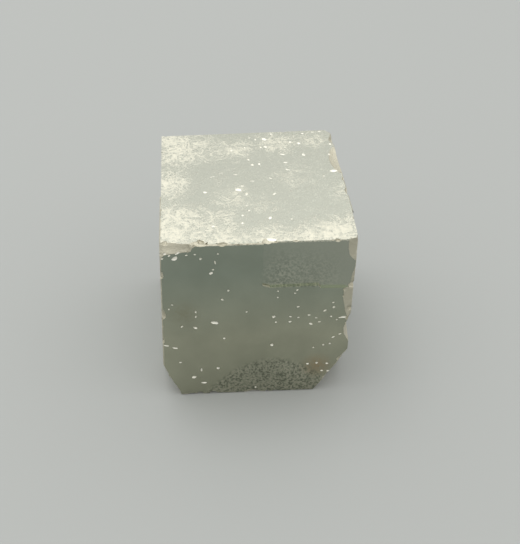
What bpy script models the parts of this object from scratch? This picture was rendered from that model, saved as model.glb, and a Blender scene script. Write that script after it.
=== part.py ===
"""A cube-shaped pyrite crystal, grown as one piece and modelled as one solid.

Metres, +Z up. The crystal rests on its base face at Z 0, with its front face towards -Y and its right
face towards +X. The origin is the middle of the resting box's floor.
"""

import math
import random

import bmesh
import bpy
import numpy as np
from mathutils import Matrix, Vector, noise

MM = 0.001

# Driving sizes: the block between its growth faces.
WIDTH = 28.1 * MM
DEPTH = 30.4 * MM
HEIGHT = 29.3 * MM
LEFT_FACE_LEAN = math.radians(0.9)  # the left face stands out at its foot
BACK_FACE_TURN = math.radians(2.3)  # the back face is deeper on the right
RIGHT_FACE_TURN = math.radians(0.95)  # the right face stands out at the front
FLATTEST_EDGE = math.radians(0.5)  # faces that meet at less than this are one face
FRONT_FACET_LENGTH = 7.5 * MM  # the right face bends in by this much over this length at its front
FRONT_FACET_DEPTH = 0.30 * MM
WORN_EDGE = 0.16 * MM  # width of the flat that handling leaves along every edge

SEED = 41

# Broken corners. Each break is an uneven plane that meets the corner's three edges this far from the
# corner, along X, Y and Z, with this much relief.
CORNER_BREAKS = {
    ("right", "front", "base"): {"reach": (5.0 * MM, 7.6 * MM, 9.2 * MM), "relief": 0.30 * MM},
    ("left", "front", "base"): {"reach": (2.9 * MM, 9.5 * MM, 7.0 * MM), "relief": 0.26 * MM},
    ("right", "front", "top"): {"reach": (0.7 * MM, 2.2 * MM, 1.6 * MM), "relief": 0.08 * MM},
    ("left", "front", "top"): {"reach": (4.4 * MM, 0.7 * MM, 1.7 * MM), "relief": 0.24 * MM},
    ("right", "back", "top"): {"reach": (1.1 * MM, 1.5 * MM, 2.2 * MM), "relief": 0.12 * MM},
    ("left", "back", "base"): {"reach": (3.4 * MM, 4.6 * MM, 4.0 * MM), "relief": 0.30 * MM},
    ("right", "back", "base"): {"reach": (1.8 * MM, 2.2 * MM, 1.4 * MM), "relief": 0.16 * MM},
}
BREAK_MARGIN = 1.5  # a break's slab reaches this many times as far as its longest side
RELIEF_SPACING = 0.55 * MM  # distance between the points of a break's uneven plane
RELIEF_GRAIN = 420.0  # lumps per metre of that unevenness
RELIEF_OCTAVES = ((1.0, 1.0), (2.3, 0.55), (5.1, 0.3))  # (how many times as fine, how high)
NEXT_PATTERN = 10.0  # steps this far through the noise from one break to the next

# Bites out of an edge. Each lies between two faces, at a place in the block, and is an ellipsoid with
# these half-lengths along the edge and across it, whose skin cuts this deep into the edge. It leans
# towards the second face above 0, so that it skims that face, and towards the first below 0.
EDGE_BITES = {
    "right_front_upper_flake": {
        "faces": ("right", "front"), "at": (WIDTH / 2, -DEPTH / 2, 28.4 * MM),
        "half": (6.1 * MM, 4.0 * MM), "deep": 0.60 * MM, "lean": 0.85, "relief": 0.16 * MM,
    },
    "right_front_lower_flake": {
        "faces": ("right", "front"), "at": (WIDTH / 2, -DEPTH / 2, 20.6 * MM),
        "half": (11.5 * MM, 3.0 * MM), "deep": 0.27 * MM, "lean": 0.80, "relief": 0.10 * MM,
    },
    "right_front_waist": {
        "faces": ("right", "front"), "at": (WIDTH / 2, -DEPTH / 2, 13.0 * MM),
        "half": (7.0 * MM, 14.0 * MM), "deep": 1.00 * MM, "lean": -0.85, "relief": 0.22 * MM,
    },
    "top_front_middle": {
        "faces": ("front", "top"), "at": (1.3 * MM, -DEPTH / 2, HEIGHT),
        "half": (1.7 * MM, 1.5 * MM), "deep": 0.34 * MM, "lean": 0.62, "relief": 0.24 * MM,
    },
    "top_right_rear": {
        "faces": ("right", "top"), "at": (WIDTH / 2, 5.8 * MM, HEIGHT),
        "half": (7.6 * MM, 3.0 * MM), "deep": 0.42 * MM, "lean": 0.80, "relief": 0.14 * MM,
    },
    "top_back_left": {
        "faces": ("back", "top"), "at": (-12.6 * MM, DEPTH / 2, HEIGHT),
        "half": (3.6 * MM, 1.6 * MM), "deep": 0.42 * MM, "lean": 0.10, "relief": 0.10 * MM,
    },
    "base_front_left": {
        "faces": ("front", "base"), "at": (-8.7 * MM, -DEPTH / 2, 0.0),
        "half": (0.7 * MM, 1.0 * MM), "deep": 0.34 * MM, "lean": -0.10, "relief": 0.10 * MM,
    },
    "base_front_notch": {
        "faces": ("front", "base"), "at": (-6.6 * MM, -DEPTH / 2, 0.0),
        "half": (0.8 * MM, 1.0 * MM), "deep": 0.38 * MM, "lean": -0.10, "relief": 0.10 * MM,
    },
    "right_back_foot": {
        "faces": ("right", "base"), "at": (WIDTH / 2, 6.4 * MM, 0.0),
        "half": (4.6 * MM, 2.6 * MM), "deep": 0.95 * MM, "lean": -0.20, "relief": 0.30 * MM,
    },
    "left_back_waist": {
        "faces": ("left", "back"), "at": (-WIDTH / 2, DEPTH / 2, 17.0 * MM),
        "half": (2.6 * MM, 1.8 * MM), "deep": 0.60 * MM, "lean": 0.10, "relief": 0.25 * MM,
    },
}
BITE_OCTAVES = ((1.7, 1.0), (5.3, 0.5))
NEXT_BITE = 7.0
LONG_BITE = 5 * MM  # a bite with a longer half-length than this has a finer skin

# Growth ledges: shallow terraces where the last layer of a face stopped short. An outline lies on its
# face as (across, up) in millimetres from the face's lower middle, and runs past the face's own edges.
# A ledge with a fade deepens by that angle from left to right, and comes out of its face on the left.
LEDGE_TILT = math.radians(0.3)
LEDGES = {
    "front": {
        "depth": 0.035 * MM, "fade": math.radians(0.4),
        "outline": ((0.6, 31), (0.6, 21.7), (1.7, 21.3), (4.6, 21.35), (8.8, 21.4), (9.1, 20.9),
                    (15.5, 20.7), (15.5, 31)),
    },
    "right": {
        "depth": 0.10 * MM, "fade": 0.0,
        "outline": ((-17, 9.2), (-6.5, 8.7), (-6.2, 10.6), (-3.8, 10.9), (-3.3, 17.4), (-6.1, 17.8),
                    (-6.4, 19.0), (-17, 18.6)),
    },
    "back": {
        "depth": 0.14 * MM, "fade": 0.0,
        "outline": ((-16, -1), (-16, 7.6), (-9.4, 7.9), (-9.1, 10.4), (0.9, 10.9), (1.3, 6.4), (2.8, 6.2),
                    (2.4, -1)),
    },
    "left": {
        "depth": 0.24 * MM, "fade": 0.0,
        "outline": ((-17, 31), (-17, 12.2), (-4.0, 11.8), (-3.6, 13.7), (2.7, 14.2), (3.3, 20.4), (3.2, 31)),
    },
}
LEDGE_CUTTER_HEIGHT = 3 * MM

# Small chips along the edges, from handling: (least, most) of each measure, the last four as shares of
# the chip's size, and a turn about the edge's own crosswise axis.
CHIPS_PER_EDGE = 5
CHIP_CLEAR_OF_CORNER = 0.05  # share of the edge kept free at each end
CHIP_SIZES = (0.45 * MM, 1.15 * MM)
CHIP_SMALLNESS = 2.2  # above 1, small chips outnumber large ones
CHIP_RADIUS = (1.0, 1.4)
CHIP_LENGTH = (1.1, 2.4)
CHIP_DEPTH = (0.25, 0.45)
CHIP_RELIEF = 0.22
CHIP_LEAN = (-0.35, 0.35)
CHIP_SKEW = (-0.4, 0.4)


def clear_scene():
    for obj in list(bpy.data.objects):
        bpy.data.objects.remove(obj)


def growth_faces():
    """Each growth face of the block as (outward normal, a point on it)."""
    lean = LEFT_FACE_LEAN
    back_turn = BACK_FACE_TURN
    right_turn = RIGHT_FACE_TURN
    return {
        "base": (Vector((0, 0, -1)), Vector((0, 0, 0))),
        "top": (Vector((0, 0, 1)), Vector((0, 0, HEIGHT))),
        "front": (Vector((0, -1, 0)), Vector((0, -DEPTH / 2, 0))),
        "back": (Vector((-math.sin(back_turn), math.cos(back_turn), 0)), Vector((0, DEPTH / 2, 0))),
        "left": (Vector((-math.cos(lean), 0, math.sin(lean))), Vector((-WIDTH / 2, 0, HEIGHT))),
        "right": (Vector((math.cos(right_turn), math.sin(right_turn), 0)), Vector((WIDTH / 2, 0, 0))),
    }


def meeting_point(faces, names):
    """The corner that three growth faces share."""
    normals = np.array([faces[name][0] for name in names])
    offsets = np.array([faces[name][0].dot(faces[name][1]) for name in names])
    return Vector(np.linalg.solve(normals, offsets))


def block_corners(faces):
    return {
        (side, end, level): meeting_point(faces, (side, end, level))
        for side in ("left", "right")
        for end in ("front", "back")
        for level in ("base", "top")
    }


def block_edges(corners):
    """The twelve edges as (corner, corner, names of the two faces that meet there)."""
    keys = sorted(corners)
    edges = []
    for index, first in enumerate(keys):
        for second in keys[index + 1 :]:
            shared = [name for name in first if name in second]
            if len(shared) == 2:
                edges.append((corners[first], corners[second], shared))
    return edges


def object_from(bm, name):
    mesh_data = bpy.data.meshes.new(name)
    bm.to_mesh(mesh_data)
    bm.free()
    obj = bpy.data.objects.new(name, mesh_data)
    bpy.context.scene.collection.objects.link(obj)
    return obj


def cutter_from(bm, name, collection):
    """A cutter, kept out of renders and put with the others."""
    obj = object_from(bm, name)
    obj.hide_render = True
    obj.display_type = "WIRE"
    bpy.context.scene.collection.objects.unlink(obj)
    collection.objects.link(obj)


def crystal_block(corners):
    """The whole block before any damage, with a narrow flat along every edge."""
    bm = bmesh.new()
    for corner in corners.values():
        bm.verts.new(corner)
    bmesh.ops.convex_hull(bm, input=bm.verts)
    bmesh.ops.dissolve_limit(bm, angle_limit=FLATTEST_EDGE, verts=bm.verts, edges=bm.edges)
    bmesh.ops.bevel(bm, geom=bm.edges, offset=WORN_EDGE, segments=1, affect="EDGES")
    bmesh.ops.recalc_face_normals(bm, faces=bm.faces)
    return object_from(bm, "pyrite_cube")


def facet_cutter(faces, collection):
    """A wedge that bends the front of the right face in, over its whole height."""
    normal, point = faces["right"]
    backwards = Vector((-normal.y, normal.x, 0))
    front = point + backwards * ((-DEPTH / 2 - point.y) / backwards.y)
    start = front + backwards * FRONT_FACET_LENGTH
    slope = (front - normal * FRONT_FACET_DEPTH - start).normalized()
    far = start + slope * (2 * FRONT_FACET_LENGTH)
    bm = bmesh.new()
    ring = [bm.verts.new(place) for place in (start, far, far + normal * FRONT_FACET_LENGTH)]
    bmesh.ops.translate(bm, verts=ring, vec=(0, 0, -HEIGHT))
    lid = bmesh.ops.extrude_face_region(bm, geom=[bm.faces.new(ring)])
    moved = [item for item in lid["geom"] if isinstance(item, bmesh.types.BMVert)]
    bmesh.ops.translate(bm, verts=moved, vec=(0, 0, 3 * HEIGHT))
    bmesh.ops.recalc_face_normals(bm, faces=bm.faces)
    cutter_from(bm, "facet_right_front", collection)


def unevenness(place, octaves):
    """Smooth random height at a place, as a sum of ever finer waves."""
    return sum(share * noise.noise(place * fineness) for fineness, share in octaves)


def break_plane(corner, key, reach):
    """The middle and the outward axes of the plane that meets a corner's edges at their reach."""
    inward = (
        1 if key[0] == "left" else -1,
        1 if key[1] == "front" else -1,
        1 if key[2] == "base" else -1,
    )
    ends = []
    for axis in range(3):
        end = corner.copy()
        end[axis] += inward[axis] * reach[axis]
        ends.append(end)
    normal = (ends[1] - ends[0]).cross(ends[2] - ends[0]).normalized()
    if normal.dot(corner - ends[0]) < 0:
        normal.negate()
    side = normal.orthogonal().normalized()
    middle = (ends[0] + ends[1] + ends[2]) / len(ends)
    return middle, Matrix((side, normal.cross(side), normal)).transposed()


def break_cutters(corners, collection):
    """An uneven slab across each broken corner, which takes off all that lies beyond it."""
    for number, (key, shape) in enumerate(CORNER_BREAKS.items()):
        middle, frame = break_plane(corners[key], key, shape["reach"])
        size = BREAK_MARGIN * max(shape["reach"])
        count = max(8, round(2 * size / RELIEF_SPACING))
        bm = bmesh.new()
        bmesh.ops.create_grid(bm, x_segments=count, y_segments=count, size=size)
        for vert in bm.verts:
            place = vert.co * RELIEF_GRAIN + Vector((0, 0, NEXT_PATTERN * number))
            vert.co.z = shape["relief"] * unevenness(place, RELIEF_OCTAVES)
        lid = bmesh.ops.extrude_face_region(bm, geom=list(bm.faces))
        moved = [item for item in lid["geom"] if isinstance(item, bmesh.types.BMVert)]
        for vert in moved:
            vert.co.z = size
        bmesh.ops.recalc_face_normals(bm, faces=bm.faces)
        bm.transform(Matrix.Translation(middle) @ frame.to_4x4())
        cutter_from(bm, "break_" + "_".join(key), collection)


def lumpy_ellipsoid(centre, axes, frame, lumps, offset, fineness=3):
    """A closed ellipsoid whose skin swells and dips, so that it leaves an uneven, shell-like scar."""
    bm = bmesh.new()
    bmesh.ops.create_icosphere(bm, subdivisions=fineness, radius=1.0)
    for vert in bm.verts:
        vert.co *= 1 + lumps * unevenness(vert.co + Vector((offset, 0, 0)), BITE_OCTAVES)
    bm.transform(Matrix.Translation(centre) @ frame.to_4x4() @ Matrix.Diagonal((*axes, 1)))
    return bm


def edge_frame(first_normal, second_normal, lean):
    """Axes along an edge, outwards from it (leaning to the second face if lean is above 0), and across."""
    outward = (first_normal * (1 - lean) + second_normal * (1 + lean)).normalized()
    along = first_normal.cross(second_normal).normalized()
    return along, outward, along.cross(outward)


def bite_cutters(faces, collection):
    for number, (name, shape) in enumerate(EDGE_BITES.items()):
        first, second = (faces[face][0] for face in shape["faces"])
        along, outward, across = edge_frame(first, second, shape["lean"])
        half_length, radius = shape["half"]
        centre = Vector(shape["at"]) + outward * (radius - shape["deep"])
        frame = Matrix((along, outward, across)).transposed()
        axes = (half_length, radius, radius)
        fineness = 4 if half_length > LONG_BITE else 3
        bm = lumpy_ellipsoid(centre, axes, frame, shape["relief"] / radius, NEXT_BITE * number, fineness)
        cutter_from(bm, "bite_" + name, collection)


def chip_cutters(edges, faces, collection):
    """Small ellipsoids that sit across the edges, each of which bites a shallow chip."""
    draw = random.Random(SEED)
    smallest, largest = CHIP_SIZES
    for start, end, (first, second) in edges:
        for step in range(CHIPS_PER_EDGE):
            share = (step + draw.random()) / CHIPS_PER_EDGE
            share = CHIP_CLEAR_OF_CORNER + share * (1 - 2 * CHIP_CLEAR_OF_CORNER)
            size = smallest + (largest - smallest) * draw.random() ** CHIP_SMALLNESS
            radius = size * draw.uniform(*CHIP_RADIUS)
            length = size * draw.uniform(*CHIP_LENGTH)
            depth = size * draw.uniform(*CHIP_DEPTH)
            along, outward, across = edge_frame(faces[first][0], faces[second][0], draw.uniform(*CHIP_LEAN))
            centre = start.lerp(end, share) + outward * (radius - depth)
            skew = Matrix.Rotation(draw.uniform(*CHIP_SKEW), 3, across)
            frame = skew @ Matrix((along, outward, across)).transposed()
            bm = lumpy_ellipsoid(centre, (length, radius, radius), frame, CHIP_RELIEF, draw.uniform(0, 90))
            cutter_from(bm, "chip", collection)


def ledge_cutters(faces, collection):
    """Slabs that lie on a face and skim a shallow terrace off it, a little deeper at its foot."""
    up = Vector((0, 0, 1))
    for name, shape in LEDGES.items():
        normal, point = faces[name]
        lowest = min(height for _, height in shape["outline"]) * MM
        foot = Vector((point.x, point.y, lowest))
        foot -= normal * (normal.dot(foot - point) + shape["depth"])
        turned = Matrix.Rotation(shape["fade"], 3, up) @ normal
        across = up.cross(turned).normalized()
        tilted = Matrix.Rotation(-LEDGE_TILT, 3, across) @ turned
        rise = tilted.cross(across)
        bm = bmesh.new()
        ring = [
            bm.verts.new(foot + across * sideways * MM + rise * (height * MM - lowest))
            for sideways, height in shape["outline"]
        ]
        lid = bmesh.ops.extrude_face_region(bm, geom=[bm.faces.new(ring)])
        moved = [item for item in lid["geom"] if isinstance(item, bmesh.types.BMVert)]
        bmesh.ops.translate(bm, verts=moved, vec=tilted * LEDGE_CUTTER_HEIGHT)
        bmesh.ops.recalc_face_normals(bm, faces=bm.faces)
        cutter_from(bm, "ledge_" + name, collection)


def pyrite_material():
    """Pale brass-yellow metal with the soft shine of a natural crystal face."""
    material = bpy.data.materials.new("pyrite")
    material.use_nodes = True
    shader = material.node_tree.nodes["Principled BSDF"]
    shader.inputs["Base Color"].default_value = (0.62, 0.60, 0.50, 1.0)
    shader.inputs["Metallic"].default_value = 1.0
    shader.inputs["Roughness"].default_value = 0.28
    return material


def rest_on_origin(obj):
    """Moves the crystal so that the origin is the middle of its box's floor."""
    bpy.context.view_layer.update()
    evaluated = obj.evaluated_get(bpy.context.evaluated_depsgraph_get())
    places = [vert.co for vert in evaluated.data.vertices]
    middle = [(min(p[axis] for p in places) + max(p[axis] for p in places)) / 2 for axis in (0, 1)]
    obj.location = (-middle[0], -middle[1], 0)


def main():
    clear_scene()
    faces = growth_faces()
    corners = block_corners(faces)
    crystal = crystal_block(corners)
    crystal.data.materials.append(pyrite_material())

    cutters = bpy.data.collections.new("damage")
    bpy.context.scene.collection.children.link(cutters)
    ledge_cutters(faces, cutters)
    facet_cutter(faces, cutters)
    break_cutters(corners, cutters)
    bite_cutters(faces, cutters)
    chip_cutters(block_edges(corners), faces, cutters)

    damage = crystal.modifiers.new("damage", "BOOLEAN")
    damage.operation = "DIFFERENCE"
    damage.operand_type = "COLLECTION"
    damage.collection = cutters
    damage.solver = "EXACT"
    rest_on_origin(crystal)


main()
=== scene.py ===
import math

import bmesh
import bpy
from mathutils import Matrix, Vector


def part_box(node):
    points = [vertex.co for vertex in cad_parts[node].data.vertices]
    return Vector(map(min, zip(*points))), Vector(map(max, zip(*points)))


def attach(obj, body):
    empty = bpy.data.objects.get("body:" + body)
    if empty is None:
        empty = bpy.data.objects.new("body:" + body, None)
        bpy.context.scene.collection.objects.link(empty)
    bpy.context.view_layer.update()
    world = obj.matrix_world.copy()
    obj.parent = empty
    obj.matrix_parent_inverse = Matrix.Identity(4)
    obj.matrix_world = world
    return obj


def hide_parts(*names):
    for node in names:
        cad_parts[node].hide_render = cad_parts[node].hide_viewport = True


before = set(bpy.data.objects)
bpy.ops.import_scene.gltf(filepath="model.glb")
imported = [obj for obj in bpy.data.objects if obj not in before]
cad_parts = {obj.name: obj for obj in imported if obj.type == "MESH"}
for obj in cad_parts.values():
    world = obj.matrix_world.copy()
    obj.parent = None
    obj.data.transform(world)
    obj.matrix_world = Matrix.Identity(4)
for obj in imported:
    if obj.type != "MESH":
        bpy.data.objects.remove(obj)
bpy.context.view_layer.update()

# The view. The crystal is looked down on from above its front face and a little from the left, from
# about four and a half of its own widths before its front edge, as someone looks at a stone on a table.
MM = 0.001
EYE = Vector((-9.58, -120.57, 108.2)) * MM
LOOKING_DOWN = math.radians(38.5)
LOOKING_RIGHT = math.radians(5.31)
HEAD_TILT = math.radians(1.62)
FILM_WIDTH = 36
LENS = 62.7

camera = bpy.data.objects.new("camera", bpy.data.cameras.new("camera"))
bpy.context.scene.collection.objects.link(camera)
camera.data.sensor_width = FILM_WIDTH
camera.data.lens = LENS
camera.data.clip_start = 1 * MM
turn_right = Matrix.Rotation(-LOOKING_RIGHT, 4, "Z")
turn_down = Matrix.Rotation(math.pi / 2 - LOOKING_DOWN, 4, "X")
tilt = Matrix.Rotation(HEAD_TILT, 4, "Z")
camera.matrix_world = Matrix.Translation(EYE) @ turn_right @ turn_down @ tilt
bpy.context.scene.camera = camera


# Three finishes of one mineral, pyrite. Where the crystal grew, its faces are flat and mirror like a
# slightly dulled metal, silvery brass, with a pale frost of etching and film over part of the top. Where
# a corner broke off it is rough and scatters the light. Where the stone was knocked it is crushed pale.
def linear(colour):
    """A hex colour as linear light."""
    shares = [int(colour[start : start + 2], 16) / 255 for start in (1, 3, 5)]
    light = [share / 12.92 if share <= 0.04045 else ((share + 0.055) / 1.055) ** 2.4 for share in shares]
    return light + [1]


def add(tree, kind, inputs=None, **settings):
    """Adds a node with its settings, and sets or links each of its inputs by name or by number."""
    made = tree.nodes.new(kind)
    for name, value in settings.items():
        setattr(made, name, value)
    for key, value in (inputs or {}).items():
        if isinstance(value, bpy.types.NodeSocket):
            tree.links.new(value, made.inputs[key])
        else:
            made.inputs[key].default_value = value
    return made


def new_finish(name):
    """A material with its shader, and its object coordinates in millimetres."""
    finish = bpy.data.materials.new(name)
    finish.use_nodes = True
    tree = finish.node_tree
    shader = tree.nodes["Principled BSDF"]
    place = add(tree, "ShaderNodeTexCoord").outputs["Object"]
    in_mm = add(tree, "ShaderNodeVectorMath", {0: place, "Scale": 1 / MM}, operation="SCALE").outputs[0]
    return finish, tree, shader, in_mm


# Growth face: a softened mirror, which here reflects between a third and a half of the light on it,
# more red and green than blue. The front face alone is given a darker, greener colour, a painted
# reflection of a grey-green table, which turns lighter and browner towards its foot.
TOP_BRASS = linear("#aeb0a3")
# Painted reflection: the front face's darker, greener brass and its lighter, browner foot stand for the table
# it mirrors.
FRONT_REFLECTION_TINT = linear("#9aa294")
FOOT_REFLECTION_TINT = linear("#b0b19d")
# The cream of the frost, also used for the painted highlight on the top's front edge and the light grain of
# the painted reflection on the front.
CREAM_FROST_AND_HIGHLIGHT = linear("#cfccba")
IRON_STAIN = linear("#b08a58")
BROWN_FILM = linear("#8f8a72")
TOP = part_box("pyrite_cube")[1].z / MM
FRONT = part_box("pyrite_cube")[0].y / MM

# The dark of the leather grain painted on the front as a painted reflection.
REFLECTED_LEATHER_DARK = linear("#6a7063")
STAINS = (  # (middle in mm, radius in mm, colour, how much of it)
    ((9.4, FRONT, 5.4), 3.2, IRON_STAIN, 0.35),
    ((-10.8, FRONT, 16.8), 3.4, BROWN_FILM, 0.35),
)

# Frost on the top face: (middle across and back in mm, radius in mm, how much of the surface it takes).
FROST_ANYWHERE = 0.06
FROST = (
    ((-11.0, 10.5), 9.0, 0.62), ((-13.5, 0.0), 6.0, 0.66), ((-12.5, -10.5), 7.5, 0.70),
    ((-5.5, -14.5), 5.0, 0.55), ((1.5, -15.0), 5.5, 0.50), ((8.5, -14.0), 5.5, 0.55),
    ((13.0, -12.0), 5.0, 0.55), ((-3.0, -3.5), 4.5, 0.34), ((-2.0, 9.5), 5.0, 0.36),
    ((4.5, 11.5), 5.0, 0.40), ((11.0, 12.5), 4.0, 0.30), ((6.5, 1.5), 5.0, 0.20),
    ((13.6, -3.0), 3.0, 0.28), ((-5.5, -9.5), 5.5, 0.34), ((1.5, -6.5), 3.5, 0.20),
)

# Depths below the top face and behind the front face, in mm, between which a finish comes in.
NEAR_TOP = (0.35, 0.15)
NEAR_FRONT = (0.5, 0.3)
# The painted highlight along the top's front edge comes in between these depths behind the front face.
HIGHLIGHT_BAND = (4.5, 0.5)
FOOT_FADE = (24.0, 12.0)  # heights in mm between which the front takes the colour of its foot
ARC_MIDDLE = 2.5
ARC_TOP = 7.2
ARC_DROP = 0.062  # how far the arc falls, in mm, for the square of each mm across
# The high patch of painted reflection of leather grain on the front: where it has gone and where it is whole,
# in mm.
PATCH_FOOT = (21.1, 21.4)
PATCH_TOP = (29.0, 25.0)
PATCH_LEFT = (0.0, 3.0)
PATCH_RIGHT = (13.0, 10.5)
VEINS_PER_MM = 0.40
FINE_VEINS_PER_MM = 1.5
MOTTLE_PER_MM = 2.4
FILM_PER_MM = 0.22
GRAIN_PER_MM = 3.2
CLOUDS_PER_MM = 0.16
GRIT_PER_MM = 1.6
FACE_RELIEF = 0.03 * MM
GRIT_RELIEF = 0.22 * MM

growth_face, tree, shader, in_mm = new_finish("pyrite_cube_face")
axes = add(tree, "ShaderNodeSeparateXYZ", {0: in_mm}).outputs


def between(value, low, high, **settings):
    """How far a value has come from one level to another, as a share from none to all."""
    ranged = {"Value": value, "From Min": low, "From Max": high}
    return add(tree, "ShaderNodeMapRange", ranged, **settings).outputs["Result"]


def maths(operation, *terms):
    """One sum, product or other operation on two or three values."""
    return add(tree, "ShaderNodeMath", dict(enumerate(terms)), operation=operation).outputs[0]


def mix(share, first, second):
    """Two colours mixed by a share."""
    return add(tree, "ShaderNodeMix", {0: share, 6: first, 7: second}, data_type="RGBA").outputs[2]


def noise_mm(per_mm, detail, roughness=0.6, distortion=0.0, offset=0.0):
    """A cloud of values, with so many patches to a millimetre."""
    moved = add(tree, "ShaderNodeVectorMath", {0: in_mm, 1: (offset, offset, offset)}).outputs[0]
    settings = {
        "Vector": moved, "Scale": per_mm, "Detail": detail, "Roughness": roughness, "Distortion": distortion
    }
    return add(tree, "ShaderNodeTexNoise", settings).outputs["Fac"]


on_top = between(axes["Z"], TOP - NEAR_TOP[0], TOP - NEAR_TOP[1])
on_front = between(axes["Y"], FRONT + NEAR_FRONT[0], FRONT + NEAR_FRONT[1])

amount = FROST_ANYWHERE
for middle, radius, share in FROST:
    away = add(tree, "ShaderNodeVectorMath", {0: in_mm, 1: (*middle, TOP)}, operation="DISTANCE")
    patch = between(away.outputs["Value"], radius, 0.0, interpolation_type="SMOOTHSTEP")
    amount = maths("MULTIPLY_ADD", patch, share, amount)
amount = maths("MULTIPLY", amount, on_top)

veins = maths("ABSOLUTE", maths("MULTIPLY_ADD", noise_mm(VEINS_PER_MM, 6, 0.68, 0.9), 2.0, -1.0))
fine_noise = noise_mm(FINE_VEINS_PER_MM, 4, 0.7, 0.3, offset=40.0)
fine_veins = maths("ABSOLUTE", maths("MULTIPLY_ADD", fine_noise, 2.0, -1.0))
vein_mask = between(veins, maths("MULTIPLY", amount, 0.22), 0.0, interpolation_type="SMOOTHSTEP")
fine_mask = between(fine_veins, maths("MULTIPLY", amount, 0.20), 0.0, interpolation_type="SMOOTHSTEP")
mottle = between(noise_mm(MOTTLE_PER_MM, 3, 0.65, offset=80.0), 0.42, 0.62)
film = between(noise_mm(FILM_PER_MM, 3, offset=120.0), 0.35, 0.65)
film = maths("MULTIPLY", film, maths("MULTIPLY", amount, maths("MULTIPLY_ADD", mottle, 0.8, 0.05)))
# Painted highlight: the top is made paler and creamier in a band along its front edge.
near_front = between(axes["Y"], FRONT + HIGHLIGHT_BAND[0], FRONT + HIGHLIGHT_BAND[1])
highlight_band = maths("MULTIPLY", near_front, maths("MULTIPLY_ADD", mottle, 0.3, 0.12))
fine_frost_and_highlight = maths("MULTIPLY_ADD", fine_mask, 0.5, maths("ADD", film, highlight_band))
frost_and_highlight = maths("MULTIPLY_ADD", vein_mask, 0.6, fine_frost_and_highlight)
frost_and_highlight = maths("MULTIPLY", maths("MINIMUM", frost_and_highlight, 1.0), on_top)

# Painted reflection: the front face's colour turns lighter and browner towards its foot.
towards_foot = between(axes["Z"], *FOOT_FADE)
front_colour_with_reflection = mix(towards_foot, FRONT_REFLECTION_TINT, FOOT_REFLECTION_TINT)

# Two patches on the front face, a low one under an arc and one above the growth step, are painted with
# the grain of fine leather, a painted reflection of a leather table; an iron stain lies near the foot
# and a thin brown film near the left edge.
from_middle = maths("ADD", axes["X"], -ARC_MIDDLE)
arc = maths("MULTIPLY_ADD", maths("MULTIPLY", from_middle, from_middle), -ARC_DROP, ARC_TOP)
low_reflection_mask = between(maths("SUBTRACT", arc, axes["Z"]), -0.4, 0.8)
high_reflection_mask = maths("MULTIPLY", between(axes["Z"], *PATCH_FOOT), between(axes["Z"], *PATCH_TOP))
high_reflection_sides = maths("MULTIPLY", between(axes["X"], *PATCH_LEFT), between(axes["X"], *PATCH_RIGHT))
high_reflection_mask = maths("MULTIPLY", high_reflection_mask, high_reflection_sides)
leather_reflection_mask = maths("MULTIPLY", maths("MAXIMUM", low_reflection_mask, high_reflection_mask), on_front)
grain = noise_mm(GRAIN_PER_MM, 2, 0.6, offset=160.0)
# Painted reflection: dark and cream leather grain painted into the two front patches.
dark_reflected_grain = maths("MULTIPLY", between(grain, 0.50, 0.40), leather_reflection_mask)
light_reflected_grain = maths("MULTIPLY", between(grain, 0.50, 0.62), leather_reflection_mask)
front_colour_with_reflection = mix(maths("MULTIPLY", dark_reflected_grain, 0.75), front_colour_with_reflection, REFLECTED_LEATHER_DARK)
front_colour_with_reflection = mix(maths("MULTIPLY", light_reflected_grain, 0.6), front_colour_with_reflection, CREAM_FROST_AND_HIGHLIGHT)
cloudy = between(noise_mm(CLOUDS_PER_MM, 4, 0.6, offset=200.0), 0.35, 0.65)
front_colour_with_reflection = mix(maths("MULTIPLY", cloudy, 0.18), front_colour_with_reflection, REFLECTED_LEATHER_DARK)
for middle, radius, colour, share in STAINS:
    away = add(tree, "ShaderNodeVectorMath", {0: in_mm, 1: middle}, operation="DISTANCE").outputs["Value"]
    stain = between(away, radius, 0.0, interpolation_type="SMOOTHSTEP")
    stain = maths("MULTIPLY", stain, maths("MULTIPLY_ADD", between(grain, 0.35, 0.65), share, share * 0.5))
    front_colour_with_reflection = mix(stain, front_colour_with_reflection, colour)
brass = mix(on_front, TOP_BRASS, front_colour_with_reflection)
frosted_and_highlit = mix(frost_and_highlight, brass, CREAM_FROST_AND_HIGHLIGHT)
tree.links.new(frosted_and_highlit, shader.inputs["Base Color"])
tree.links.new(maths("MULTIPLY_ADD", frost_and_highlight, -0.8, 1.0), shader.inputs["Metallic"])
tree.links.new(maths("MULTIPLY_ADD", frost_and_highlight, 0.4, 0.2), shader.inputs["Roughness"])
relief = maths("MULTIPLY_ADD", frost_and_highlight, 0.5, maths("MULTIPLY", mottle, maths("MULTIPLY", amount, 0.7)))
relief = maths("MULTIPLY_ADD", maths("MULTIPLY", grain, leather_reflection_mask), 0.8, relief)
bump = add(tree, "ShaderNodeBump", {"Strength": 1.0, "Distance": FACE_RELIEF, "Height": relief})
tree.links.new(bump.outputs["Normal"], shader.inputs["Normal"])

fracture, tree, shader, in_mm = new_finish("pyrite_fracture")
shader.inputs["Base Color"].default_value = linear("#bdb9a6")
shader.inputs["Metallic"].default_value = 0.75
shader.inputs["Roughness"].default_value = 0.42
grit = noise_mm(GRIT_PER_MM, 6, 0.75)
bump = add(tree, "ShaderNodeBump", {"Strength": 1.0, "Distance": GRIT_RELIEF, "Height": grit})
tree.links.new(bump.outputs["Normal"], shader.inputs["Normal"])

crushed, tree, shader, in_mm = new_finish("pyrite_crushed")
shader.inputs["Base Color"].default_value = linear("#e4e2d6")
shader.inputs["Metallic"].default_value = 0.2
shader.inputs["Roughness"].default_value = 0.4


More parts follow.
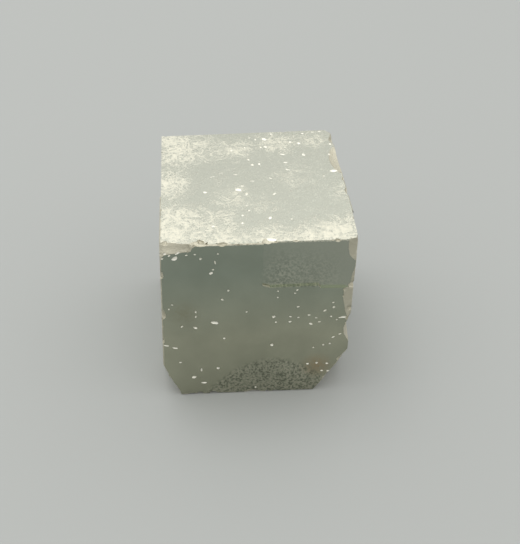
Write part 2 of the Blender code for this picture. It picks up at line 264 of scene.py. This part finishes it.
# The crystal's block: one solid pyrite cube with its own growth faces, worn edges and broken corners,
# taken from the model's solid. Its faces are joined at their corners again and each is given its finish.
# The broken ones are divided once, and their roughness is in the finish.
SMALLEST_FLAT = 0.05 * MM * MM  # a flat smaller than this is only a facet of a break
THINNEST = 0.004  # a face with less area than this share of its longest side's square is a sliver
SHARPEST_ROUND = math.radians(20)
NEAR_SQUARE = math.cos(math.radians(3.6))  # growth faces lie this near to the crystal's own axes
SAME_PLACE = 0.0001 * MM  # corners nearer than this are one

cad_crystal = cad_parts["pyrite_cube"]
shape = bmesh.new()
shape.from_mesh(cad_crystal.data)
bmesh.ops.remove_doubles(shape, verts=shape.verts, dist=SAME_PLACE)


def square(face):
    """Whether a face lies along one of the crystal's own axes."""
    return max(abs(share) for share in face.normal) > NEAR_SQUARE


def sliver(face):
    """Whether a face is so thin that its direction means nothing."""
    longest = max(edge.calc_length() for edge in face.edges)
    return face.calc_area() < THINNEST * longest * longest


growth = {face for face in shape.faces if square(face) and face.calc_area() > SMALLEST_FLAT}
growth |= {
    face
    for face in shape.faces
    if sliver(face) and any(near in growth for edge in face.edges for near in edge.link_faces)
}
for face in shape.faces:
    face.material_index = 0 if face in growth else 1
    face.smooth = face not in growth
rims = [
    [corner.co.copy() for corner in edge.verts]
    for edge in shape.edges
    if sorted(face in growth for face in edge.link_faces) == [False, True]
    and edge.calc_face_angle(0) > SHARPEST_ROUND
]
broken = [face for face in shape.faces if face.material_index == 1]
bmesh.ops.triangulate(shape, faces=broken)
inner = [edge for edge in shape.edges if all(face.material_index == 1 for face in edge.link_faces)]
bmesh.ops.subdivide_edges(shape, edges=inner, cuts=1, use_grid_fill=True)
block = bpy.data.meshes.new("pyrite_crystal")
shape.to_mesh(block)
shape.free()
for finish in (growth_face, fracture, crushed):
    block.materials.append(finish)
crystal = bpy.data.objects.new("pyrite_crystal", block)
bpy.context.scene.collection.objects.link(crystal)


# Chips along the crystal's edges, knocked off over the years: a ragged row of small scoops of uneven
# sizes, in two rounds. The same irregular lumps cut every mark on the crystal.
BALL_LIFT = (0, 0, 0.3)  # how far a lump's middle is moved the way it faces, in its own half depths
UNEVENNESS = (-0.62, 0.45)  # how far a lump's skin goes in and out, as a share of its distance from the middle
UNEVEN_PER_SIZE = 1.1
CHIP_ROUNDS = ((3.2, 0.10, 0.55), (1.3, 0.04, 0.22))  # (spacing, smallest, largest), in mm
CHIP_RARITY = 3.5  # the higher, the fewer large chips there are
CHIP_STRETCH = (0.7, 2.0)  # how long a chip is along its edge, as a share of its size
STRETCH_SEED = 5
TURN_SEED = 6
CHIPS_APART = 0.75  # chips nearer than this share of their spacing are made one
WHOLE_TURN = 6.28


def new_tree(name, inputs):
    """A Geometry Nodes tree with named inputs; returns it with the sockets they come in by."""
    tree = bpy.data.node_groups.new(name, "GeometryNodeTree")
    tree.interface.new_socket("Geometry", in_out="INPUT", socket_type="NodeSocketGeometry")
    for title, kind in inputs.items():
        tree.interface.new_socket(title, in_out="INPUT", socket_type="NodeSocket" + kind)
    tree.interface.new_socket("Geometry", in_out="OUTPUT", socket_type="NodeSocketGeometry")
    return tree, add(tree, "NodeGroupInput").outputs


def cut_away(lumps, slot):
    """Cuts a mesh of lumps out of the crystal; the cuts get one finish."""
    for finish in (growth_face, fracture, crushed):
        lumps.materials.append(finish)
    for face in lumps.polygons:
        face.material_index = slot
    cutters = bpy.data.objects.new("lumps", lumps)
    bpy.context.scene.collection.objects.link(cutters)
    cut = crystal.modifiers.new("lumps", "BOOLEAN")
    cut.operation = "DIFFERENCE"
    cut.solver = "MANIFOLD"
    cut.material_mode = "TRANSFER"
    cut.object = cutters
    graph = bpy.context.evaluated_depsgraph_get()
    left = bpy.data.meshes.new_from_object(crystal.evaluated_get(graph))
    crystal.modifiers.remove(cut)
    crystal.data = left
    bpy.data.objects.remove(cutters)


def grown_by(tree, source, values):
    """The plain mesh that a tree makes of a mesh, with its named inputs set."""
    holder = bpy.data.objects.new(tree.name, source)
    bpy.context.scene.collection.objects.link(holder)
    modifier = holder.modifiers.new(tree.name, "NODES")
    modifier.node_group = tree
    for socket in tree.interface.items_tree:
        if socket.name in values:
            modifier[socket.identifier] = values[socket.name]
    graph = bpy.context.evaluated_depsgraph_get()
    made = bpy.data.meshes.new_from_object(holder.evaluated_get(graph))
    made.materials.clear()
    bpy.data.objects.remove(holder)
    return made


def random_value(tree, low, high, seed):
    """A random number for each point."""
    spread = {2: low, 3: high, "Seed": seed}
    return add(tree, "FunctionNodeRandomValue", spread, data_type="FLOAT").outputs[1]


def store(tree, points, name, value, kind="FLOAT"):
    """Writes a value down on each point."""
    slots = {0: points, "Name": name, "Value": value}
    return add(tree, "GeometryNodeStoreNamedAttribute", slots, data_type=kind).outputs[0]


def named(tree, name, kind="FLOAT"):
    """Reads a value written down on each point."""
    return add(tree, "GeometryNodeInputNamedAttribute", {"Name": name}, data_type=kind).outputs[0]


def lump_nodes(tree, points, finish):
    """Ends a tree with an irregular lump on every point, sized, turned and laid as the point says."""
    where = add(tree, "GeometryNodeInputPosition").outputs[0]
    points = store(tree, points, "middle", where, "FLOAT_VECTOR")
    ball = add(tree, "GeometryNodeMeshIcoSphere", {"Radius": 1.0, "Subdivisions": 2}).outputs[0]
    ball = add(tree, "GeometryNodeTransform", {0: ball, "Translation": BALL_LIFT}).outputs[0]
    facing = {"Vector": named(tree, "facing", "FLOAT_VECTOR")}
    laid = add(tree, "FunctionNodeAlignRotationToVector", facing, axis="Z").outputs[0]
    spin = {"Axis": (0, 0, 1), "Angle": named(tree, "turn")}
    spun = add(tree, "FunctionNodeAxisAngleToRotation", spin).outputs[0]
    turned = add(tree, "FunctionNodeRotateRotation", {0: laid, 1: spun}, rotation_space="LOCAL").outputs[0]
    halves = {0: named(tree, "wide"), 1: named(tree, "tall"), 2: named(tree, "deep")}
    half_sizes = add(tree, "ShaderNodeCombineXYZ", halves).outputs[0]
    placed = add(
        tree, "GeometryNodeInstanceOnPoints",
        {"Points": points, "Instance": ball, "Rotation": turned, "Scale": half_sizes},
    ).outputs[0]
    solid = add(tree, "GeometryNodeRealizeInstances", {0: placed}).outputs[0]
    place = add(tree, "GeometryNodeInputPosition").outputs[0]
    ends = {0: place, 1: named(tree, "middle", "FLOAT_VECTOR")}
    arm = add(tree, "ShaderNodeVectorMath", ends, operation="SUBTRACT").outputs[0]
    across = {0: named(tree, "wide"), 1: named(tree, "tall")}
    size = add(tree, "ShaderNodeMath", across, operation="MAXIMUM").outputs[0]
    per_size = add(tree, "ShaderNodeMath", {0: 1.0, 1: size}, operation="DIVIDE").outputs[0]
    in_sizes = add(tree, "ShaderNodeVectorMath", {0: place, "Scale": per_size}, operation="SCALE").outputs[0]
    clouds = {"Vector": in_sizes, "Scale": UNEVEN_PER_SIZE, "Detail": 2.0}
    cloud = add(tree, "ShaderNodeTexNoise", clouds).outputs["Fac"]
    spread = {"Value": cloud, "From Min": 0.25, "From Max": 0.75}
    spread |= {"To Min": UNEVENNESS[0], "To Max": UNEVENNESS[1]}
    unevenness = add(tree, "ShaderNodeMapRange", spread).outputs[0]
    offset = add(tree, "ShaderNodeVectorMath", {0: arm, "Scale": unevenness}, operation="SCALE").outputs[0]
    uneven = add(tree, "GeometryNodeSetPosition", {0: solid, "Offset": offset}).outputs[0]
    finished = add(tree, "GeometryNodeSetMaterial", {0: uneven, "Material": finish}).outputs[0]
    add(tree, "NodeGroupOutput", {0: finished})


chip_inputs = {"Spacing": "Float", "Smallest": "Float", "Largest": "Float", "Seed": "Int"}
chip_tree, given = new_tree("edge_chips", chip_inputs)
outline = add(chip_tree, "GeometryNodeMeshToCurve", {0: given["Geometry"]}).outputs[0]
spaced = add(
    chip_tree, "GeometryNodeResampleCurve", {0: outline, "Length": given["Spacing"]}, mode="LENGTH"
).outputs[0]
points = add(chip_tree, "GeometryNodeCurveToPoints", {0: spaced}, mode="EVALUATED").outputs
dice = random_value(chip_tree, 0.0, 1.0, given["Seed"])
rarer = add(chip_tree, "ShaderNodeMath", {0: dice, 1: CHIP_RARITY}, operation="POWER").outputs[0]
size = add(
    chip_tree, "ShaderNodeMapRange",
    {"Value": rarer, "To Min": given["Smallest"], "To Max": given["Largest"]},
).outputs[0]
marked = store(chip_tree, points["Points"], "facing", points["Tangent"], "FLOAT_VECTOR")
gap = {0: given["Spacing"], 1: CHIPS_APART}
apart = add(chip_tree, "ShaderNodeMath", gap, operation="MULTIPLY").outputs[0]
marked = add(chip_tree, "GeometryNodeMergeByDistance", {0: marked, "Distance": apart}).outputs[0]
marked = store(chip_tree, marked, "wide", size)
marked = store(chip_tree, marked, "tall", size)
stretch = {0: size, 1: random_value(chip_tree, *CHIP_STRETCH, STRETCH_SEED)}
long = add(chip_tree, "ShaderNodeMath", stretch, operation="MULTIPLY")
marked = store(chip_tree, marked, "deep", long.outputs[0])
marked = store(chip_tree, marked, "turn", random_value(chip_tree, 0.0, WHOLE_TURN, TURN_SEED))
lump_nodes(chip_tree, marked, fracture)

rim_mesh = bpy.data.meshes.new("rims")
corners = [corner for pair in rims for corner in pair]
rim_mesh.from_pydata(corners, [(2 * n, 2 * n + 1) for n in range(len(rims))], [])
welded = bmesh.new()
welded.from_mesh(rim_mesh)
bmesh.ops.remove_doubles(welded, verts=welded.verts, dist=SAME_PLACE)
welded.to_mesh(rim_mesh)
welded.free()
for seed, (spacing, smallest, largest) in enumerate(CHIP_ROUNDS):
    sizes = {"Spacing": spacing * MM, "Smallest": smallest * MM, "Largest": largest * MM, "Seed": seed}
    cut_away(grown_by(chip_tree, rim_mesh, sizes), 1)


# Pits and knocks on the top and front faces: irregular hollows with crushed pale insides, set one by
# one. The other faces have none. Most of the places below were picked by eye, worked out in mm by a
# helper script and rounded to 0.1 mm; the rest, and all sizes and turns, were judged by eye.
LEAST_DEPTH = 0.12  # half the depth of the flattest lump, in mm
DEPTH_SHARE = 0.16  # and this much more for each mm of its mark's shorter side
# (across, up, width, height, turn in degrees), in mm, on the front face
FRONT_MARKS = (
    (-8.2, 26.9, 0.40, 0.40, 0), (-9.0, 27.7, 0.32, 0.25, 0), (-10.2, 27.6, 0.45, 0.25, 10),
    (-11.8, 27.1, 1.10, 0.75, 20), (-12.6, 27.6, 0.60, 0.30, 40), (-13.2, 27.9, 0.60, 0.30, 20),
    (-13.6, 27.1, 0.40, 0.30, 0), (-11.4, 28.0, 0.70, 0.30, 35), (-10.6, 28.4, 0.60, 0.25, 30),
    (-5.8, 27.7, 0.35, 0.25, 0), (-6.2, 26.2, 0.20, 0.60, 10), (-6.5, 24.9, 0.35, 0.30, 0),
    (-6.8, 24.3, 0.60, 0.45, 20), (-4.3, 21.0, 0.35, 0.35, 0), (-5.2, 19.3, 0.50, 0.30, -50),
    (-12.5, 18.6, 0.40, 0.25, 0), (-13.0, 17.8, 0.25, 0.35, 0), (-9.1, 17.1, 0.25, 0.50, 0),
    (-9.1, 16.2, 0.25, 0.50, 0), (-9.2, 14.0, 0.70, 0.40, -30), (-6.4, 14.9, 1.15, 0.75, -10),
    (-11.2, 14.3, 0.55, 0.25, 40), (-1.6, 16.8, 0.30, 0.25, 0), (-4.9, 11.7, 0.40, 0.30, 0),
    (2.9, 20.6, 0.35, 0.30, 0), (2.9, 19.4, 0.25, 0.25, 0), (5.7, 20.7, 0.40, 0.30, 30),
    (5.4, 20.1, 0.35, 0.25, 0), (2.4, 15.7, 0.50, 0.50, 0), (2.8, 14.6, 0.35, 0.25, 0),
    (4.9, 15.6, 0.40, 0.25, -20), (4.9, 14.6, 0.45, 0.30, 0), (6.0, 17.5, 0.50, 0.25, 0),
    (6.1, 15.4, 0.35, 0.20, 0), (7.7, 15.8, 0.45, 0.25, -15), (8.1, 14.0, 0.80, 0.35, -30),
    (8.8, 15.2, 0.35, 0.25, 0), (9.3, 14.4, 0.50, 0.25, 0), (10.0, 16.6, 0.60, 0.28, 35),
    (11.2, 18.1, 0.40, 0.30, 0), (11.3, 17.2, 0.45, 0.40, 0), (11.0, 15.4, 0.35, 0.30, -20),
    (11.9, 14.7, 0.30, 0.25, 0), (12.9, 15.2, 1.50, 0.40, 8), (2.3, 10.0, 0.60, 0.50, 0),
    (8.7, 9.2, 0.30, 0.30, 0), (11.2, 9.9, 0.35, 0.30, 0), (10.2, 9.7, 0.30, 0.40, -30),
    (11.6, 11.2, 0.50, 0.30, 20), (12.6, 11.8, 0.50, 0.25, 15), (8.0, 5.8, 0.50, 0.40, 0),
    (9.4, 5.9, 0.45, 0.35, 20), (11.0, 5.7, 0.55, 0.35, 0), (10.3, 4.2, 0.45, 0.30, 0),
    (11.3, 4.1, 0.60, 0.40, 30), (-9.6, 3.8, 0.85, 0.60, 20), (-8.4, 5.3, 0.30, 0.80, 0),
    (-5.9, 5.5, 0.55, 0.40, 10), (-8.1, 2.5, 0.80, 0.30, 0), (-11.6, 7.0, 0.45, 0.25, 0),
    (0.0, 1.1, 0.30, 0.30, 0), (-13.6, 10.6, 0.90, 0.30, -15), (-12.4, 10.1, 1.00, 0.35, -12),
    (9.0, 25.6, 0.50, 0.70, 20), (10.0, 24.3, 0.45, 0.80, 15), (10.9, 23.2, 0.80, 0.55, 0),
    (8.1, 24.3, 0.60, 0.30, 30), (9.0, 26.5, 0.50, 0.30, 0), (2.3, 25.7, 1.00, 0.50, -25),
    (8.7, 21.6, 0.45, 0.30, -20), (10.0, 21.4, 0.30, 0.60, 35),
)
# (across, back, width, depth, turn in degrees), in mm, on the top face
TOP_MARKS = (
    (-2.6, 9.4, 0.55, 0.50, 30), (-0.5, 10.2, 0.40, 0.60, 0), (-0.1, 6.5, 0.60, 0.35, -30),
    (0.4, 5.0, 0.60, 0.55, 0), (1.5, 5.2, 0.40, 0.70, 0), (2.8, 12.8, 0.80, 1.00, 30),
    (2.9, 10.3, 0.75, 0.45, -20), (2.1, 10.2, 0.35, 0.50, 0), (1.4, 12.6, 0.40, 0.50, 0),
    (0.5, 13.2, 0.60, 0.35, 20), (4.1, 14.3, 0.45, 0.35, 0), (5.4, 7.9, 0.90, 0.45, -20),
    (5.6, 5.5, 0.70, 0.35, 0), (7.0, 11.7, 0.50, 0.45, 0), (8.4, 11.2, 0.60, 0.80, 30),
    (8.7, 7.7, 0.50, 0.80, 25), (9.3, 14.3, 0.60, 0.40, 0), (11.0, 14.7, 0.55, 0.35, 0),
    (12.2, 14.9, 0.70, 0.30, 0), (13.4, 10.8, 0.35, 0.60, 0), (12.9, 7.7, 0.70, 0.50, 20),
    (12.9, 2.8, 1.60, 0.80, 0), (11.2, 1.4, 0.40, 0.30, 0), (5.9, 3.4, 0.90, 0.25, -25),
    (3.2, -3.2, 0.70, 0.30, 40), (-2.2, -1.9, 1.15, 0.80, 0), (-1.0, -3.0, 0.50, 0.80, 0),
    (-1.5, -0.9, 0.50, 0.40, 0), (-0.9, -7.4, 0.45, 0.45, 0), (-1.2, -6.1, 0.35, 0.30, 0),
    (-1.9, -8.6, 0.45, 0.50, 0), (-2.1, -10.5, 0.40, 0.50, 0), (-6.3, -11.1, 0.55, 0.40, 0),
    (2.0, -9.4, 0.65, 0.75, 0), (1.5, -14.7, 2.30, 1.10, 5), (5.1, -9.8, 0.40, 0.30, 0),
    (-7.2, -2.4, 0.70, 0.60, -30), (-6.0, 1.8, 1.20, 0.20, 20), (-4.6, 2.8, 0.80, 0.18, 5),
    (3.0, 1.0, 0.70, 0.22, -45), (0.0, 0.4, 0.80, 0.20, 0), (-2.4, 2.3, 0.60, 0.25, 0),
)
mark_tree, given = new_tree("set_marks", {})
lump_nodes(mark_tree, given["Geometry"], crushed)
mark_mesh = bpy.data.meshes.new("marks")
spots = [(x, FRONT, z) for x, z, *_ in FRONT_MARKS] + [(x, y, TOP) for x, y, *_ in TOP_MARKS]
mark_mesh.from_pydata([Vector(spot) * MM for spot in spots], [], [])
facings = [(0, -1, 0)] * len(FRONT_MARKS) + [(0, 0, 1)] * len(TOP_MARKS)
mark_mesh.attributes.new("facing", "FLOAT_VECTOR", "POINT").data.foreach_set(
    "vector", [share for facing in facings for share in facing]
)
both = FRONT_MARKS + TOP_MARKS
columns = {
    "wide": [mark[2] / 2 * MM for mark in both],
    "tall": [mark[3] / 2 * MM for mark in both],
    "deep": [(LEAST_DEPTH + DEPTH_SHARE * min(mark[2], mark[3])) * MM for mark in both],
    "turn": [math.radians(mark[4]) for mark in both],
}
for name, values in columns.items():
    mark_mesh.attributes.new(name, "FLOAT", "POINT").data.foreach_set("value", values)
cut_away(grown_by(mark_tree, mark_mesh, {}), 2)

SHARP_EDGE = math.radians(32)
knocked = crystal.data
knocked.set_sharp_from_angle(angle=SHARP_EDGE)
for face in knocked.polygons:
    face.use_smooth = face.material_index == 1

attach(crystal, "root")
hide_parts("pyrite_cube")


# The table top: a plain, pale, matt board, far wider than the crystal.
FLOOR_GREY = linear("#989a97")
FLOOR_RADIUS = 2.4
board = bmesh.new()
bmesh.ops.create_circle(board, cap_ends=True, segments=96, radius=FLOOR_RADIUS)
floor = bpy.data.objects.new("floor", bpy.data.meshes.new("floor"))
board.to_mesh(floor.data)
board.free()
bpy.context.scene.collection.objects.link(floor)
board_finish, tree, shader, in_mm = new_finish("matt_board")
shader.inputs["Base Color"].default_value = FLOOR_GREY
shader.inputs["Roughness"].default_value = 0.9
floor.data.materials.append(board_finish)


# The light: a soft studio, as bright overhead as a white ceiling with lamps behind it, and dimmer towards
# the horizon, so that the top face shines and the upright faces mirror only the table.
SKY = ((0.0, 0.62), (0.38, 0.95), (0.50, 1.15), (0.60, 1.50), (1.0, 1.6))  # (height, brightness)
BRIGHTEST = 2.0  # the brightness that the ramp's white stands for
world = bpy.data.worlds.new("studio")
bpy.context.scene.world = world
world.use_nodes = True
tree = world.node_tree
direction = add(tree, "ShaderNodeTexCoord").outputs["Generated"]
height = add(tree, "ShaderNodeSeparateXYZ", {0: direction}).outputs["Z"]
ramp = add(tree, "ShaderNodeValToRGB", {0: height})
for number, (level, brightness) in enumerate(SKY):
    grey = brightness / BRIGHTEST
    stop = ramp.color_ramp.elements[number] if number < 2 else ramp.color_ramp.elements.new(level)
    stop.position = level
    stop.color = (grey, grey, grey, 1)
tree.links.new(ramp.outputs["Color"], tree.nodes["Background"].inputs["Color"])
tree.nodes["Background"].inputs["Strength"].default_value = BRIGHTEST
bpy.context.scene.view_settings.view_transform = "Standard"

SOFTBOX_SIZE = (0.35, 0.25)
SOFTBOX_PLACE = (-0.15, 0.10, 0.6)
SOFTBOX_WATTS = 0.9
softbox = bpy.data.lights.new("softbox", "AREA")
softbox.shape = "RECTANGLE"
softbox.size, softbox.size_y = SOFTBOX_SIZE
softbox.energy = SOFTBOX_WATTS
lamp = bpy.data.objects.new("softbox", softbox)
lamp.location = SOFTBOX_PLACE
lamp.rotation_euler = (Vector((0, 0, 0)) - lamp.location).to_track_quat("-Z", "Y").to_euler()
bpy.context.scene.collection.objects.link(lamp)
